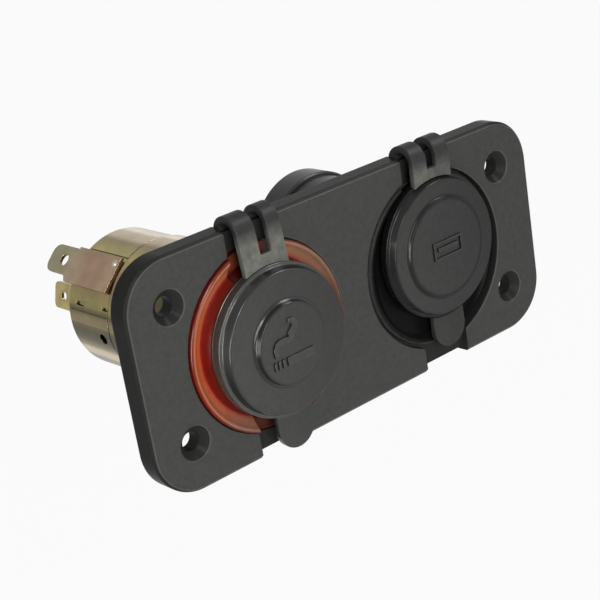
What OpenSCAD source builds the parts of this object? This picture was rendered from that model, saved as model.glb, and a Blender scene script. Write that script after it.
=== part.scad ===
// Two-gang panel with a 12 V outlet and a charger socket, each under a rubber cap.
// +X runs to the right as seen from the front, +Y into the vehicle's panel, +Z up.
// The origin is the centre of the four screw holes, on the panel's rear (mounting) face.

/* [Panel] */
// Thickness of the panel
panel_t = 5.2; // [5:0.1:6.4]
// Width of the panel between its two recesses
bridge_w = 8.6; // [5:0.2:14]
// Width of the panel beyond a recess, at either end
end_margin = 12.9; // [11:0.1:20]
// Height of the panel above and below the recesses
edge_margin = 4.8; // [4.2:0.1:9]
// Corner radius of the panel
panel_corner_r = 11.4; // [6:0.2:13]
// Bevel along the panel's front edge
panel_bevel = 0.8; // [0.4:0.1:1]
// Distance from a screw hole to the end of the panel
screw_inset_x = 10.75; // [8:0.05:11]
// Distance from a screw hole to the panel's top or bottom edge
screw_inset_z = 10.9; // [8:0.1:12]
// Diameter of a screw hole
screw_hole_d = 4.2; // [3.4:0.1:5]
// Width of the countersink beyond the screw hole
countersink = 2; // [1.6:0.1:2.4]
// Depth of the round recess in front of each socket
recess_depth = 2.2; // [1.8:0.1:2.6]
// How far the thin wall in a notch stops short of the panel's edge
notch_foot = 1; // [0.6:0.1:1.2]

/* [Outlet] */
// Bore of the outlet, which takes the plug
bore_d = 21; // [20.6:0.1:21.2]
// Length of the bore
bore_len = 36.1; // [30:0.1:40]
// Wall of the barrel
barrel_wall = 0.9; // [0.6:0.1:1.2]
// Width of the flange round the barrel's mouth
flange_w = 4.6; // [3.6:0.1:5]
// Thickness of the flange
flange_t = 0.9; // [0.6:0.1:1.2]
// How far the flange's face stands in front of the panel
flange_rise = 2.1; // [1.8:0.1:2.6]
// Depth of the chamber that holds the centre contact
chamber_len = 5.6; // [5:0.1:7]
// Wall of the light ring's tube
tube_wall = 1.9; // [1.2:0.1:2.4]
// Length of the tube behind the recess floor
tube_len = 13.8; // [8:0.2:20]
// Width of the dished rim round each cap
rim_w = 3.1; // [2.6:0.1:4]
// Gap between the charger's rim and the wall of its recess
rim_gap = 0.9; // [0.5:0.1:1.4]
// How far the light ring's crest stands in front of the panel
ring_rise = 0.7; // [0.2:0.1:1]
// Thickness of the can's sheet
can_wall = 0.8; // [0.6:0.1:1]
// Free space in the can behind the barrel
can_room = 8.4; // [6:0.1:14]
// Length of the can's narrower rear section
can_rear_len = 18.3; // [16:0.1:22]
// Outer diameter of the barrel's threaded neck
neck_d = 10; // [9:0.2:11]
// Wall of the neck
neck_wall = 1.8; // [1.2:0.1:2.2]
// Diameter of the contact stud
stud_d = 3.2; // [3:0.1:3.6]

/* [Terminals] */
// Width of a plug-on blade
blade_w = 6.3; // [4.8:0.1:6.6]
// Thickness of a blade
blade_t = 0.8; // [0.5:0.1:1]
// Length of the plug-on end of a blade
blade_len = 10; // [8:0.5:13]
// Diameter of the hole in a blade
blade_hole_d = 2.3; // [1.6:0.1:2.6]
// Width of the ground strip where it lies on the can
ground_strip_w = 9; // [8.2:0.2:11]
// Width of the ground blade
ground_blade_w = 7; // [6:0.1:8]
// Diameter of the hole in the ground blade
ground_hole_d = 3; // [2:0.1:3.4]
// Direction of the ground strip, from +X towards +Z
ground_angle = 135; // [125:1:145]
// Direction of the positive blade, from +X towards +Z
positive_angle = 165; // [160:1:200]
// Distance of the positive blade from the outlet's axis
positive_reach = 13; // [11:0.5:14]

/* [Charger] */
// Gap between the charger's body and the hole it passes through
body_room = 0.4; // [0.2:0.1:0.8]
// Wall of the charger's body
charger_wall = 1.6; // [1.2:0.1:2]
// Length of the body behind the panel's front face
charger_len = 46; // [44:0.5:56]
// Wall of the clamp nut's sleeve
clamp_wall = 1.35; // [1:0.05:1.8]
// How far the grip collar stands out from the sleeve
grip_rise = 0.9; // [0.6:0.1:2.4]
// Length of the grip collar
grip_len = 7.6; // [5:0.2:9]
// How far the collar reaches past the end of the body
grip_past = 1.3; // [0.8:0.1:2.4]
// Outer width of a port shell
port_w = 13.1; // [12.5:0.1:13.3]
// Outer height of a port shell
port_h = 5.7; // [5.4:0.1:5.9]
// Length of a port shell
port_len = 14; // [12:0.5:18]
// Thickness of the circuit board
board_t = 1.6; // [1:0.1:2]

/* [Caps] */
// How far a cap stands out from the outlet's flange
cap_overhang = 0.3; // [0.2:0.1:1]
// Width of the sloping rim round a cap's front face
cap_slope = 1.2; // [0.8:0.1:1.6]
// Thickness of the outlet's cap, from its rim to its face
power_cap_t = 4.5; // [4:0.1:5.5]
// Thickness of the charger's cap
charger_cap_t = 3.8; // [3.4:0.1:4.4]
// Thickness of a cap's front wall
cap_face_t = 2.2; // [1.8:0.1:2.6]
// Diameter of the raised disc on the outlet's cap, at its foot
power_disc_d = 19.4; // [16:0.1:24]
// How far that disc stands out from the cap's face
power_disc_t = 1.4; // [0.6:0.1:1.8]
// Diameter of the raised disc on the charger's cap, at its foot
charger_disc_d = 24.2; // [18:0.1:26]
// How far that disc stands out from the cap's face
charger_disc_t = 0.6; // [0.4:0.1:1.2]
// Wall of a cap's skirt
cap_wall = 1.8; // [1.4:0.1:2]
// Gap between the charger's face and its cap, below the face
face_room = 0.6; // [0.4:0.1:1]
// Width of a cap's finger tab
tab_w = 10; // [8:0.2:13]
// Length of the finger tab beyond the skirt
tab_len = 8; // [6:0.2:9]
// Thickness of the finger tab
tab_t = 1.3; // [1:0.1:1.6]
// Width of the strap that holds a cap
strap_w = 11.8; // [9:0.2:14]
// Thickness of the strap
strap_t = 1.6; // [1.2:0.1:1.7]
// Width of the slot between the strap's two bands
strap_slot_w = 3.1; // [2:0.1:4]
// Room on either side of the strap in its notch
strap_room = 1.2; // [0.8:0.1:2]
// How far the strap's loop stands in front of the panel
strap_lead = 2.9; // [2.4:0.1:3.2]

/* [Hidden] */
$fn = 96;

// How far cuts reach past a face, so that no skin is left
past = 1;
// Free gap round a piece that drops into another
slip = 0.2;
// Running gap of a thread that is drawn plain
thread_gap = 0.05;
// Gap at rest beside a strap and between a cap and its strap
rest_gap = 0.1;

// Outlet, from its bore outwards
front_y = -panel_t;
floor_y = front_y + recess_depth;
flange_y = front_y - flange_rise;
collar_y = flange_y + flange_t;
bore_r = bore_d / 2;
mouth_step = 0.7;
mouth_r = bore_r + mouth_step;
mouth_y = front_y + 1.2;
bore_start_y = mouth_y + mouth_step;
bore_end_y = bore_start_y + bore_len;
chamber_step = 1.3;
chamber_r = bore_r - chamber_step;
chamber_start_y = bore_end_y + chamber_step;
chamber_end_y = chamber_start_y + chamber_len;
bottom_t = 1.2;
bottom_y = chamber_end_y + bottom_t;
flange_r = mouth_r + barrel_wall + flange_w;
tube_inner_r = mouth_r + barrel_wall + slip;
tube_r = tube_inner_r + tube_wall;
tube_end_y = floor_y + tube_len;
socket_hole_r = tube_r + slip;

// The rings of the straps, and the can that bears on one of them
tether_hole_r = socket_hole_r + slip;
tether_ring_r = tether_hole_r + 3;
can_r = tether_hole_r + 1.6;
can_len = bottom_y + can_room;
can_collar_len = can_len - can_rear_len;
can_collar_r = can_r + can_wall;
can_back_y = can_len;
can_pad_t = 0.35;
neck_r = neck_d / 2;
neck_bore_r = neck_r - neck_wall;
can_nut_t = 1.8;
can_nut_w = neck_d + 4;
neck_end_y = can_back_y + can_nut_t;
bush_collar_t = 0.9;
blade_seat_y = neck_end_y + bush_collar_t;
stud_r = stud_d / 2;
stud_nut_t = 2.4;
stud_nut_w = stud_d + 3.8;
stud_end_y = blade_seat_y + blade_t + stud_nut_t + 0.8;
seat_t = 1.8;
contact_t = 0.4;
strip_start_y = can_collar_len + can_wall * 2 + 0.1;
rivet_r = 0.5;
rivet_y = strip_start_y + 1.5;
rivet_x = ground_strip_w / 2 - 1.7;
positive_tip_y = can_back_y + blade_len - 1;

// Caps and the dished rim that shows round them
cap_r = flange_r + cap_overhang;
cap_face_r = cap_r - cap_slope;
cap_cavity_r = cap_r - cap_wall;
crest_y = front_y + 0.4;
crest_r = 0.75;
dish_y = front_y + 1.3;
dish_r = cap_r + 0.4;
dish_sag = 0.3;
rim_r = dish_r + rim_w;
recess_r = rim_r + rim_gap;
ring_crest_y = front_y - ring_rise;
ring_crest_r = 0.6;
ring_r = recess_r - slip;
power_rim_y = flange_y;
charger_rim_y = crest_y - 0.3;
tab_reach = cap_r + tab_len;
plug_r = mouth_r - 0.6;
plug_wall = 2;

// Panel round the two recesses
socket_pitch = 2 * recess_r + bridge_w;
outlet_x = -socket_pitch / 2;
charger_x = socket_pitch / 2;
panel_w = socket_pitch + 2 * recess_r + 2 * end_margin;
panel_h = 2 * recess_r + 2 * edge_margin;
screw_x = panel_w / 2 - screw_inset_x;
screw_z = panel_h / 2 - screw_inset_z;
screw_hole_r = screw_hole_d / 2;
notch_w = strap_w + 2 * strap_room;
strap_cut_w = strap_w + 2 * slip;

// Strap and its bend over the panel's edge
loop_r = (panel_t + strap_lead) / 2;
hinge_y = -loop_r;
hinge_z = panel_h / 2 - notch_foot - 0.5;
slot_rise = 2;

// Charger
charger_body_r = socket_hole_r - body_room;
charger_bore_r = charger_body_r - charger_wall;
charger_end_y = front_y + charger_len;
clamp_bore_r = charger_body_r + thread_gap;
clamp_r = clamp_bore_r + clamp_wall;
grip_r = clamp_r + grip_rise;
grip_end_y = charger_end_y + grip_past;
face_y = front_y - 0.6;
face_boss_r = charger_bore_r - 1.4;
face_seat_y = front_y + 1;
face_back_y = front_y + 2.6;
face_ledge = 0.4;
charger_cap_rise = cap_cavity_r - face_boss_r - face_room;
port_wall = 0.35;
port_z = board_t / 2 + port_h / 2;
port_front_y = face_y + 0.3;
port_back_y = port_front_y + port_len;
tongue_t = 1.9;
tongue_base_t = 2.4;
board_half_w = charger_bore_r - 0.4;
board_front_y = face_back_y + 1;
board_back_y = charger_end_y - 6;
charger_back_t = 2.5;
charger_back_depth = 3;
charger_blade_x = 5;

// Points of an arc about centre c
function arc(c, r, from, to, steps = 8) =
    [for (i = [0:steps]) let (a = from + (to - from) * i / steps) [c[0] + r * cos(a), c[1] + r * sin(a)]];

// Points from p to q that sag by s along the second axis
function sagging(p, q, s, steps = 8) =
    [for (i = [0:steps]) let (t = i / steps) [p[0] + t * (q[0] - p[0]), p[1] + t * (q[1] - p[1]) + 4 * s * t * (1 - t)]];

// The outside of a dished rim, from the recess floor over its crest to the foot of its dish
function dished_rim(outer_r, top_y, round_r) = concat(
    [[outer_r, floor_y]],
    arc([outer_r - round_r, top_y + round_r], round_r, 0, -110),
    sagging([outer_r - round_r - 0.5, top_y + 0.12], [dish_r, dish_y], dish_sag)
);

// Cuts above and below that let the strap and the tab pass a dished rim, from radius r outwards
module rim_notches(r) {
    for (side = [-1, 1])
        translate([0, 0, side * (r + recess_r) / 2])
            block(-notch_w / 2, notch_w / 2, front_y - past, dish_y + 0.1, -(recess_r - r) / 2, (recess_r - r) / 2);
}

// A turned solid about the Y axis; profile points are [radius, y]
module turned(profile) {
    rotate([-90, 0, 0]) rotate_extrude() polygon(profile);
}

// A turned sector from one direction to another, both from +X towards +Z
module turned_sector(profile, from, to) {
    rotate([-90, 0, 0]) rotate([0, 0, -to]) rotate_extrude(angle = to - from) polygon(profile);
}

// A rod along Y from y0 to y1
module rod(r, y0, y1) {
    translate([0, y0, 0]) rotate([-90, 0, 0]) cylinder(r = r, h = y1 - y0);
}

// A cone along Y with radius r0 at y0 and r1 at y1
module taper(r0, r1, y0, y1) {
    translate([0, y0, 0]) rotate([-90, 0, 0]) cylinder(r1 = r0, r2 = r1, h = y1 - y0);
}

// A hexagonal nut along Y
module hex_rod(across_flats, y0, y1) {
    translate([0, y0, 0]) rotate([-90, 0, 0]) cylinder(r = across_flats / sqrt(3), h = y1 - y0, $fn = 6);
}

// A box by its limits
module block(x0, x1, y0, y1, z0, z1) {
    translate([x0, y0, z0]) cube([x1 - x0, y1 - y0, z1 - z0]);
}

// An outline in [y, z] drawn out along X, centred
module along_x(width) {
    translate([-width / 2, 0, 0]) rotate([90, 0, 90]) linear_extrude(width) children();
}

// A slab across Y with round corners r and a bevel b round its front face at y0
module bevelled_slab(w, h, r, b, y0, y1) {
    along_x(w - 2 * r) polygon([
        [y0, -h / 2 + b], [y0 + b, -h / 2], [y1, -h / 2], [y1, h / 2], [y0 + b, h / 2], [y0, h / 2 - b]
    ]);
    translate([0, 0, -h / 2 + r]) linear_extrude(h - 2 * r) polygon([
        [-w / 2 + b, y0], [w / 2 - b, y0], [w / 2, y0 + b], [w / 2, y1], [-w / 2, y1], [-w / 2, y0 + b]
    ]);
    for (x = [-1, 1], z = [-1, 1])
        translate([x * (w / 2 - r), 0, z * (h / 2 - r)])
            turned([[0, y0], [r - b, y0], [r, y0 + b], [r, y1], [0, y1]]);
}

// The plug-on end of a blade: it lies in the plane z = 0 to blade_t, from y = 0 to y = length
module plug_on_end(length, width = blade_w, corner = blade_w / 5, hole_d = blade_hole_d, hole_inset = blade_w * 0.6) {
    difference() {
        linear_extrude(blade_t) polygon(concat(
            [[-width / 2, 0], [width / 2, 0]],
            arc([width / 2 - corner, length - corner], corner, 0, 90, 4),
            arc([-width / 2 + corner, length - corner], corner, 90, 180, 4)
        ));
        translate([0, length - hole_inset, -past]) cylinder(d = hole_d, h = blade_t + 2 * past);
    }
}

// Puts children, drawn with +Z outwards, on a radius of the outlet's axis in the given direction
module at_direction(angle, radius) {
    translate([outlet_x, 0, 0]) rotate([0, -angle, 0]) translate([radius, 0, 0]) rotate([0, 90, 0]) children();
}

module panel_plate() color("#3d3e3d") {
    half_h = panel_h / 2;
    difference() {
        bevelled_slab(panel_w, panel_h, panel_corner_r, panel_bevel, front_y, 0);
        for (x = [-screw_x, screw_x], z = [-screw_z, screw_z])
            translate([x, 0, z]) {
                rod(screw_hole_r, front_y - past, past);
                taper(screw_hole_r + countersink, screw_hole_r, front_y, front_y + countersink);
            }
        for (x = [outlet_x, charger_x])
            translate([x, 0, 0]) {
                rod(recess_r, front_y - past, floor_y);
                taper(recess_r + 0.35, recess_r, front_y, front_y + 0.35);
                rod(socket_hole_r, front_y, past);
                block(-notch_w / 2, notch_w / 2, front_y - past, floor_y, 0, half_h + past);
                block(-notch_w / 2, notch_w / 2, front_y - past, floor_y, -half_h - past, 0);
                block(-notch_w / 2, notch_w / 2, front_y - past, past, -half_h - past, -half_h + notch_foot);
                rod(tether_ring_r + slip, -strap_t, past);
                block(-strap_cut_w / 2, strap_cut_w / 2, -strap_t, past, 0, recess_r);
                block(-strap_cut_w / 2, strap_cut_w / 2, -strap_t - rest_gap, past, recess_r, half_h + past);
                block(-strap_cut_w / 2, strap_cut_w / 2, front_y, past, half_h - notch_foot, half_h + past);
            }
    }
}

module outlet_barrel() color("#b9bbb8") translate([outlet_x, 0, 0]) {
    turned([
        [mouth_r, flange_y + 0.3], [mouth_r + 0.3, flange_y], [flange_r - 0.4, flange_y],
        [flange_r, flange_y + 0.4], [flange_r, collar_y], [mouth_r + barrel_wall, collar_y],
        [mouth_r + barrel_wall, mouth_y + 0.4], [bore_r + barrel_wall, bore_start_y + 0.4],
        [bore_r + barrel_wall, bore_end_y + 0.4], [chamber_r + barrel_wall, chamber_start_y + 0.4],
        [chamber_r + barrel_wall, bottom_y - 0.6], [chamber_r + barrel_wall - 0.6, bottom_y],
        [neck_r, bottom_y], [neck_r, neck_end_y], [neck_bore_r, neck_end_y], [neck_bore_r, chamber_end_y],
        [chamber_r, chamber_end_y], [chamber_r, chamber_start_y], [bore_r, bore_end_y],
        [bore_r, bore_start_y], [mouth_r, mouth_y]
    ]);
}

module light_ring() color([0.72, 0.12, 0.05, 0.8]) translate([outlet_x, 0, 0]) {
    difference() {
        turned(concat(dished_rim(ring_r, ring_crest_y, ring_crest_r), [
            [flange_r - 0.4, collar_y], [tube_inner_r, collar_y], [tube_inner_r, tube_end_y],
            [tube_r, tube_end_y], [tube_r, floor_y]
        ]));
        rim_notches(flange_r);
    }
}

// Pressed sheet can with a wider front section and raised pads on either side of the ground strip
module outlet_can() color("#9a8a5c") {
    inner_r = can_r - can_wall;
    shoulder_y = can_collar_len + can_wall * 2;
    difference() {
        translate([outlet_x, 0, 0]) {
            turned([
                [can_collar_r, 0], [can_collar_r, can_collar_len], [can_r, shoulder_y], [can_r, can_back_y - 1],
                [can_r - 1, can_back_y], [neck_r + thread_gap, can_back_y], [neck_r + thread_gap, can_back_y - can_wall],
                [inner_r - 0.4, can_back_y - can_wall], [inner_r, can_back_y - can_wall - 0.4],
                [inner_r, shoulder_y + 0.3], [can_r, can_collar_len + 0.3], [can_r, 0]
            ]);
            turned_sector([
                [can_r - can_wall / 2, shoulder_y], [can_r + can_pad_t, shoulder_y - can_pad_t],
                [can_r + can_pad_t, can_back_y - 1.6], [can_r - can_wall / 2, can_back_y - 1.2]
            ], ground_angle + 35, ground_angle + 342);
        }
        at_direction(ground_angle, 0) translate([rivet_x, rivet_y, 0]) cylinder(r = rivet_r + thread_gap, h = can_collar_r * 2);
        at_direction(ground_angle + 29, inner_r - past) translate([-0.5, can_back_y - 7.2, 0]) cube([1, 3.4, 4]);
        at_direction(ground_angle + 28, inner_r - past) translate([-0.4, can_back_y - 17.1, 0]) cube([0.8, 2.6, 4]);
        at_direction(ground_angle + 54, inner_r - past) translate([0, can_back_y - 13.9, 0]) cylinder(d = 2.6, h = 4);
    }
}

module can_nut() color("#a9a48c") translate([outlet_x, 0, 0]) difference() {
    hex_rod(can_nut_w, can_back_y, neck_end_y);
    rod(neck_r + thread_gap, can_back_y - past, neck_end_y + past);
}

// Strip that lies on the can and ends in the ground blade
module ground_blade() color("#a08f78") {
    strip_end_y = can_back_y + 0.2;
    at_direction(ground_angle, can_r + thread_gap) {
        difference() {
            translate([-ground_strip_w / 2, strip_start_y, 0])
                cube([ground_strip_w, strip_end_y - strip_start_y, blade_t]);
            translate([rivet_x, rivet_y, -past]) cylinder(r = rivet_r + thread_gap, h = blade_t + 2 * past);
        }
        translate([0.5, strip_end_y, 0]) plug_on_end(blade_len - 0.2, ground_blade_w, ground_blade_w / 3, ground_hole_d, 5.8);
        linear_extrude(blade_t) polygon([
            [-ground_strip_w / 2, strip_end_y - 0.1], [0, strip_end_y - 0.1], [0, strip_end_y + 1.6],
            [0.5 - ground_blade_w / 2, strip_end_y + 1.6], [-ground_strip_w / 2, strip_end_y + 0.4]
        ]);
    }
}

// Small rivet that holds the ground strip to the can
module ground_rivet() color("#b5a886") {
    head_r = rivet_r + 0.4;
    // The can's inner wall is curved, so the inner head sits where its edge just clears that wall
    sheet_r = can_r - can_wall;
    reach = rivet_x + head_r;
    head_top = sqrt(sheet_r * sheet_r - reach * reach) - slip / 4;
    outer_face = can_r + thread_gap + blade_t;
    at_direction(ground_angle, 0) translate([rivet_x, rivet_y, 0]) {
        translate([0, 0, head_top - 0.5]) cylinder(r = head_r, h = 0.5);
        translate([0, 0, head_top - 0.3]) cylinder(r = rivet_r, h = outer_face - head_top + 0.45);
        translate([0, 0, outer_face]) cylinder(r1 = rivet_r + 0.4, r2 = rivet_r, h = 0.3);
    }
}

module contact_seat() color("#6d3f24") translate([outlet_x, 0, 0]) difference() {
    rod(chamber_r - slip / 2, chamber_end_y - seat_t, chamber_end_y);
    rod(stud_r + thread_gap, chamber_start_y, chamber_end_y + past);
}

// Sprung centre contact: a cup with four leaves that bow towards the plug
module centre_contact() color("#c9a75a") translate([outlet_x, 0, 0]) {
    base_y = chamber_end_y - seat_t - contact_t;
    crown_y = bore_end_y + 0.5;
    outer_r = 6.4;
    crown_r = 4;
    difference() {
        turned([
            [0, base_y], [outer_r - 0.6, base_y], [outer_r - contact_t, base_y - 0.6], [crown_r, crown_y + contact_t],
            [0, crown_y + contact_t], [0, crown_y], [crown_r + 0.2, crown_y], [outer_r, base_y - 0.6],
            [outer_r - 0.2, base_y + contact_t], [0, base_y + contact_t]
        ]);
        rod(stud_r + thread_gap, base_y - past, base_y + past);
        for (a = [0, 90])
            rotate([0, a, 0]) block(-outer_r - past, outer_r + past, crown_y - past, base_y - 0.5, -0.5, 0.5);
        rod(1.2, crown_y - past, crown_y + past);
    }
}

module contact_bush() color("#5b3a26") translate([outlet_x, 0, 0]) difference() {
    union() {
        rod(neck_bore_r - thread_gap, chamber_end_y + 0.1, neck_end_y);
        rod(neck_r + 1.5, neck_end_y, blade_seat_y);
    }
    rod(stud_r + thread_gap, chamber_end_y - past, blade_seat_y + past);
}

module contact_stud() color("#c2b280") translate([outlet_x, 0, 0]) {
    head_back_y = chamber_end_y - seat_t - contact_t;
    rod(stud_r, head_back_y - 0.2, stud_end_y);
    rod(stud_r + 1.1, head_back_y - 1, head_back_y);
}

// Strip from the stud out past the can nut, stepped forward there and bent back into the positive blade
module positive_blade() color("#a58f52") {
    foot_y = can_back_y + 0.9;
    step_r = can_nut_w / sqrt(3) + 1;
    difference() {
        union() {
            at_direction(positive_angle, positive_reach) {
                translate([0, foot_y, 0]) plug_on_end(positive_tip_y - foot_y);
            }
            translate([outlet_x, 0, 0]) rotate([0, -positive_angle, 0]) {
                block(0, step_r + blade_t, blade_seat_y, blade_seat_y + blade_t, -blade_w / 2, blade_w / 2);
                block(step_r, step_r + blade_t, foot_y, blade_seat_y + blade_t, -blade_w / 2, blade_w / 2);
                block(step_r, positive_reach + blade_t, foot_y, foot_y + blade_t, -blade_w / 2, blade_w / 2);
            }
            translate([outlet_x, 0, 0]) rod(blade_w / 2 + 0.9, blade_seat_y, blade_seat_y + blade_t);
        }
        translate([outlet_x, 0, 0]) rod(stud_r + thread_gap, blade_seat_y - past, positive_tip_y);
    }
}

module stud_nut() color("#bdb9a6") translate([outlet_x, 0, 0]) difference() {
    hex_rod(stud_nut_w, blade_seat_y + blade_t, blade_seat_y + blade_t + stud_nut_t);
    rod(stud_r + thread_gap, blade_seat_y, stud_end_y + past);
}

// Lamp behind the light ring, with its holder between the barrel and the can
lamp_r = 1.5;
lamp_front_y = tube_end_y + 0.3;
lamp_holder_len = 8;
lamp_axis_r = (bore_r + barrel_wall + can_r) / 2;

module lamp_holder() color("#2c2c2c") translate([outlet_x, 0, 0]) {
    holder_y = lamp_front_y + 2;
    difference() {
        turned_sector([
            [bore_r + barrel_wall + thread_gap, holder_y], [can_r - thread_gap, holder_y],
            [can_r - thread_gap, holder_y + lamp_holder_len], [bore_r + barrel_wall + thread_gap, holder_y + lamp_holder_len]
        ], 252, 288);
        translate([0, 0, -lamp_axis_r]) rod(lamp_r + thread_gap, holder_y - past, holder_y + 4);
        for (x = [-0.64, 0.64])
            translate([x, 0, -lamp_axis_r]) rod(0.35, holder_y, holder_y + lamp_holder_len + past);
    }
}

module ring_lamp() color("#f0e6c8") translate([outlet_x, 0, -lamp_axis_r]) {
    rod(lamp_r, lamp_front_y + lamp_r, lamp_front_y + 5.6);
    translate([0, lamp_front_y + lamp_r, 0]) sphere(r = lamp_r);
    for (x = [-0.64, 0.64])
        translate([x, 0, 0]) rod(0.25, lamp_front_y + 5.2, lamp_front_y + lamp_holder_len + 4);
}

// Outline of a finger tab, in [x, z] about the cap's centre
module tab_outline() {
    translate([-tab_w / 2, -tab_reach + tab_w / 2]) square([tab_w, tab_reach - tab_w / 2 - cap_r / 2]);
    translate([0, -tab_reach + tab_w / 2]) circle(d = tab_w);
}

// A cap about the Y axis: rim at rim_y, thickness t to its face, with a raised disc on the face
module cap_shell(rim_y, t, disc_d, disc_t) {
    out_y = rim_y - t;
    step_y = rim_y - t * 0.52;
    disc_r = disc_d / 2;
    difference() {
        union() {
            turned([
                [0, rim_y], [cap_r - 0.3, rim_y], [cap_r, rim_y - 0.3], [cap_r, step_y + 0.4],
                [cap_r - 0.4, step_y], [cap_face_r + 0.35, step_y - 0.15], [cap_face_r, out_y + 0.4],
                [cap_face_r - 0.4, out_y], [disc_r, out_y], [disc_r - disc_t * 0.25, out_y - disc_t * 0.15],
                [disc_r - disc_t * 0.4, out_y - disc_t + 0.2], [disc_r - disc_t * 0.4 - 0.2, out_y - disc_t],
                [0, out_y - disc_t]
            ]);
            translate([0, step_y + tab_t, 0]) rotate([90, 0, 0]) linear_extrude(tab_t) tab_outline();
        }
        rod(cap_cavity_r, out_y + cap_face_t, rim_y + past);
    }
}

module power_cap() color("#484947") translate([outlet_x, 0, 0]) {
    inner_y = power_rim_y - power_cap_t + cap_face_t - 0.1;
    plug_end_y = front_y + 0.9;
    cap_shell(power_rim_y, power_cap_t, power_disc_d, power_disc_t);
    turned([
        [plug_r - plug_wall, inner_y], [plug_r, inner_y], [plug_r, plug_end_y - 0.5], [plug_r - 0.5, plug_end_y],
        [plug_r - plug_wall, plug_end_y]
    ]);
}

module charger_cap() color("#454646") translate([charger_x, 0, charger_cap_rise]) {
    cap_shell(charger_rim_y, charger_cap_t, charger_disc_d, charger_disc_t);
}

// Strap with a ring behind the panel, two bands over its top edge and a foot at the cap's skirt
module tether(foot_y, cap_z) {
    front_in_y = hinge_y - loop_r + strap_t;
    foot_z = cap_z + cap_r - 1.4;
    slot_foot_z = cap_z + cap_r + slot_rise;
    difference() {
        union() {
            rod(tether_ring_r, -strap_t, 0);
            block(-strap_w / 2, strap_w / 2, -strap_t, 0, 0, hinge_z);
            difference() {
                translate([-strap_w / 2, hinge_y, hinge_z]) rotate([0, 90, 0]) cylinder(r = loop_r, h = strap_w);
                translate([-strap_w / 2 - past, hinge_y, hinge_z]) rotate([0, 90, 0])
                    cylinder(r = loop_r - strap_t, h = strap_w + 2 * past);
                block(-strap_w, strap_w, hinge_y - 2 * loop_r, hinge_y + 2 * loop_r, hinge_z - 2 * loop_r, hinge_z);
            }
            along_x(strap_w) polygon([
                [hinge_y - loop_r, hinge_z], [front_in_y, hinge_z],
                [foot_y + strap_t + 0.2, foot_z], [foot_y, foot_z]
            ]);
        }
        rod(tether_hole_r, -strap_t - past, past);
        block(-strap_slot_w / 2, strap_slot_w / 2, hinge_y - 2 * loop_r, past, slot_foot_z, hinge_z + 2 * loop_r);
        translate([0, 0, cap_z]) rod(cap_r + rest_gap, foot_y - 4, front_y + 1);
    }
}

module power_cap_tether() color("#50514f") translate([outlet_x, 0, 0]) {
    tether(power_rim_y - 1.6, 0);
}

module charger_cap_tether() color("#50514f") translate([charger_x, 0, 0]) {
    tether(charger_rim_y - 2.8, charger_cap_rise);
}

// Bezel in the recess and threaded body behind it, in one moulding
module charger_body() color("#333434") translate([charger_x, 0, 0]) {
    seat_r = charger_bore_r + face_ledge;
    difference() {
        turned(concat(dished_rim(rim_r, crest_y, crest_r), [
            [seat_r, dish_y], [seat_r, face_back_y], [charger_bore_r, face_back_y], [charger_bore_r, charger_end_y],
            [charger_body_r, charger_end_y], [charger_body_r, floor_y]
        ]));
        rim_notches(dish_r);
    }
}

// Face of the charger with two port windows
module charger_face() color("#2b2c2c") translate([charger_x, 0, 0]) {
    difference() {
        union() {
            rod(charger_bore_r + face_ledge - slip / 2, face_seat_y, face_back_y);
            taper(face_boss_r - 0.4, face_boss_r, face_y, face_y + 0.4);
            rod(face_boss_r, face_y + 0.4, face_seat_y);
        }
        for (z = [-port_z, port_z])
            block(-port_w / 2 - slip / 2, port_w / 2 + slip / 2, face_y - past, face_back_y + past,
                z - port_h / 2 - slip / 2, z + port_h / 2 + slip / 2);
    }
}

// The two port shells, each a folded steel sleeve
module port_shells() color("#c4c5c4") translate([charger_x, 0, 0]) {
    for (z = [-port_z, port_z])
        difference() {
            block(-port_w / 2, port_w / 2, port_front_y, port_back_y, z - port_h / 2, z + port_h / 2);
            block(-port_w / 2 + port_wall, port_w / 2 - port_wall, port_front_y - past, port_back_y + past,
                z - port_h / 2 + port_wall, z + port_h / 2 - port_wall);
        }
}

// The tongue of each port, on a base that closes its shell
module port_tongues() color("#d8d8d2") translate([charger_x, 0, 0]) {
    tongue_w = port_w - 2 * port_wall - 1;
    for (side = [-1, 1]) {
        z = side * port_z;
        block(-port_w / 2 + port_wall, port_w / 2 - port_wall, port_back_y - tongue_base_t, port_back_y,
            z - port_h / 2 + port_wall, z + port_h / 2 - port_wall);
        block(-tongue_w / 2, tongue_w / 2, port_front_y + 0.8, port_back_y - tongue_base_t + 0.1,
            z + side * 0.5 - tongue_t / 2, z + side * 0.5 + tongue_t / 2);
    }
}

module charger_board() color("#2f6b3f") translate([charger_x, 0, 0]) {
    block(-board_half_w, board_half_w, board_front_y, board_back_y, -board_t / 2, board_t / 2);
}

// Drum coil of the voltage converter
module converter_coil() color("#6b4a2f") translate([charger_x, port_back_y + 8, board_t / 2]) {
    cylinder(r = 4.2, h = 1);
    translate([0, 0, 1]) cylinder(r = 3.3, h = 3);
    translate([0, 0, 4]) cylinder(r = 4.2, h = 1);
}

// A can capacitor that stands on the board
module capacitor() {
    cylinder(r = 3.15, h = 6.2);
    translate([0, 0, 6.2]) cylinder(r1 = 3.15, r2 = 2.6, h = 0.5);
}

module input_capacitor() color("#3a3f55") translate([charger_x, port_back_y + 17, board_t / 2]) capacitor();

module output_capacitor() color("#3a3f55") {
    translate([charger_x, port_back_y + 8, -board_t / 2]) mirror([0, 0, 1]) capacitor();
}

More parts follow.
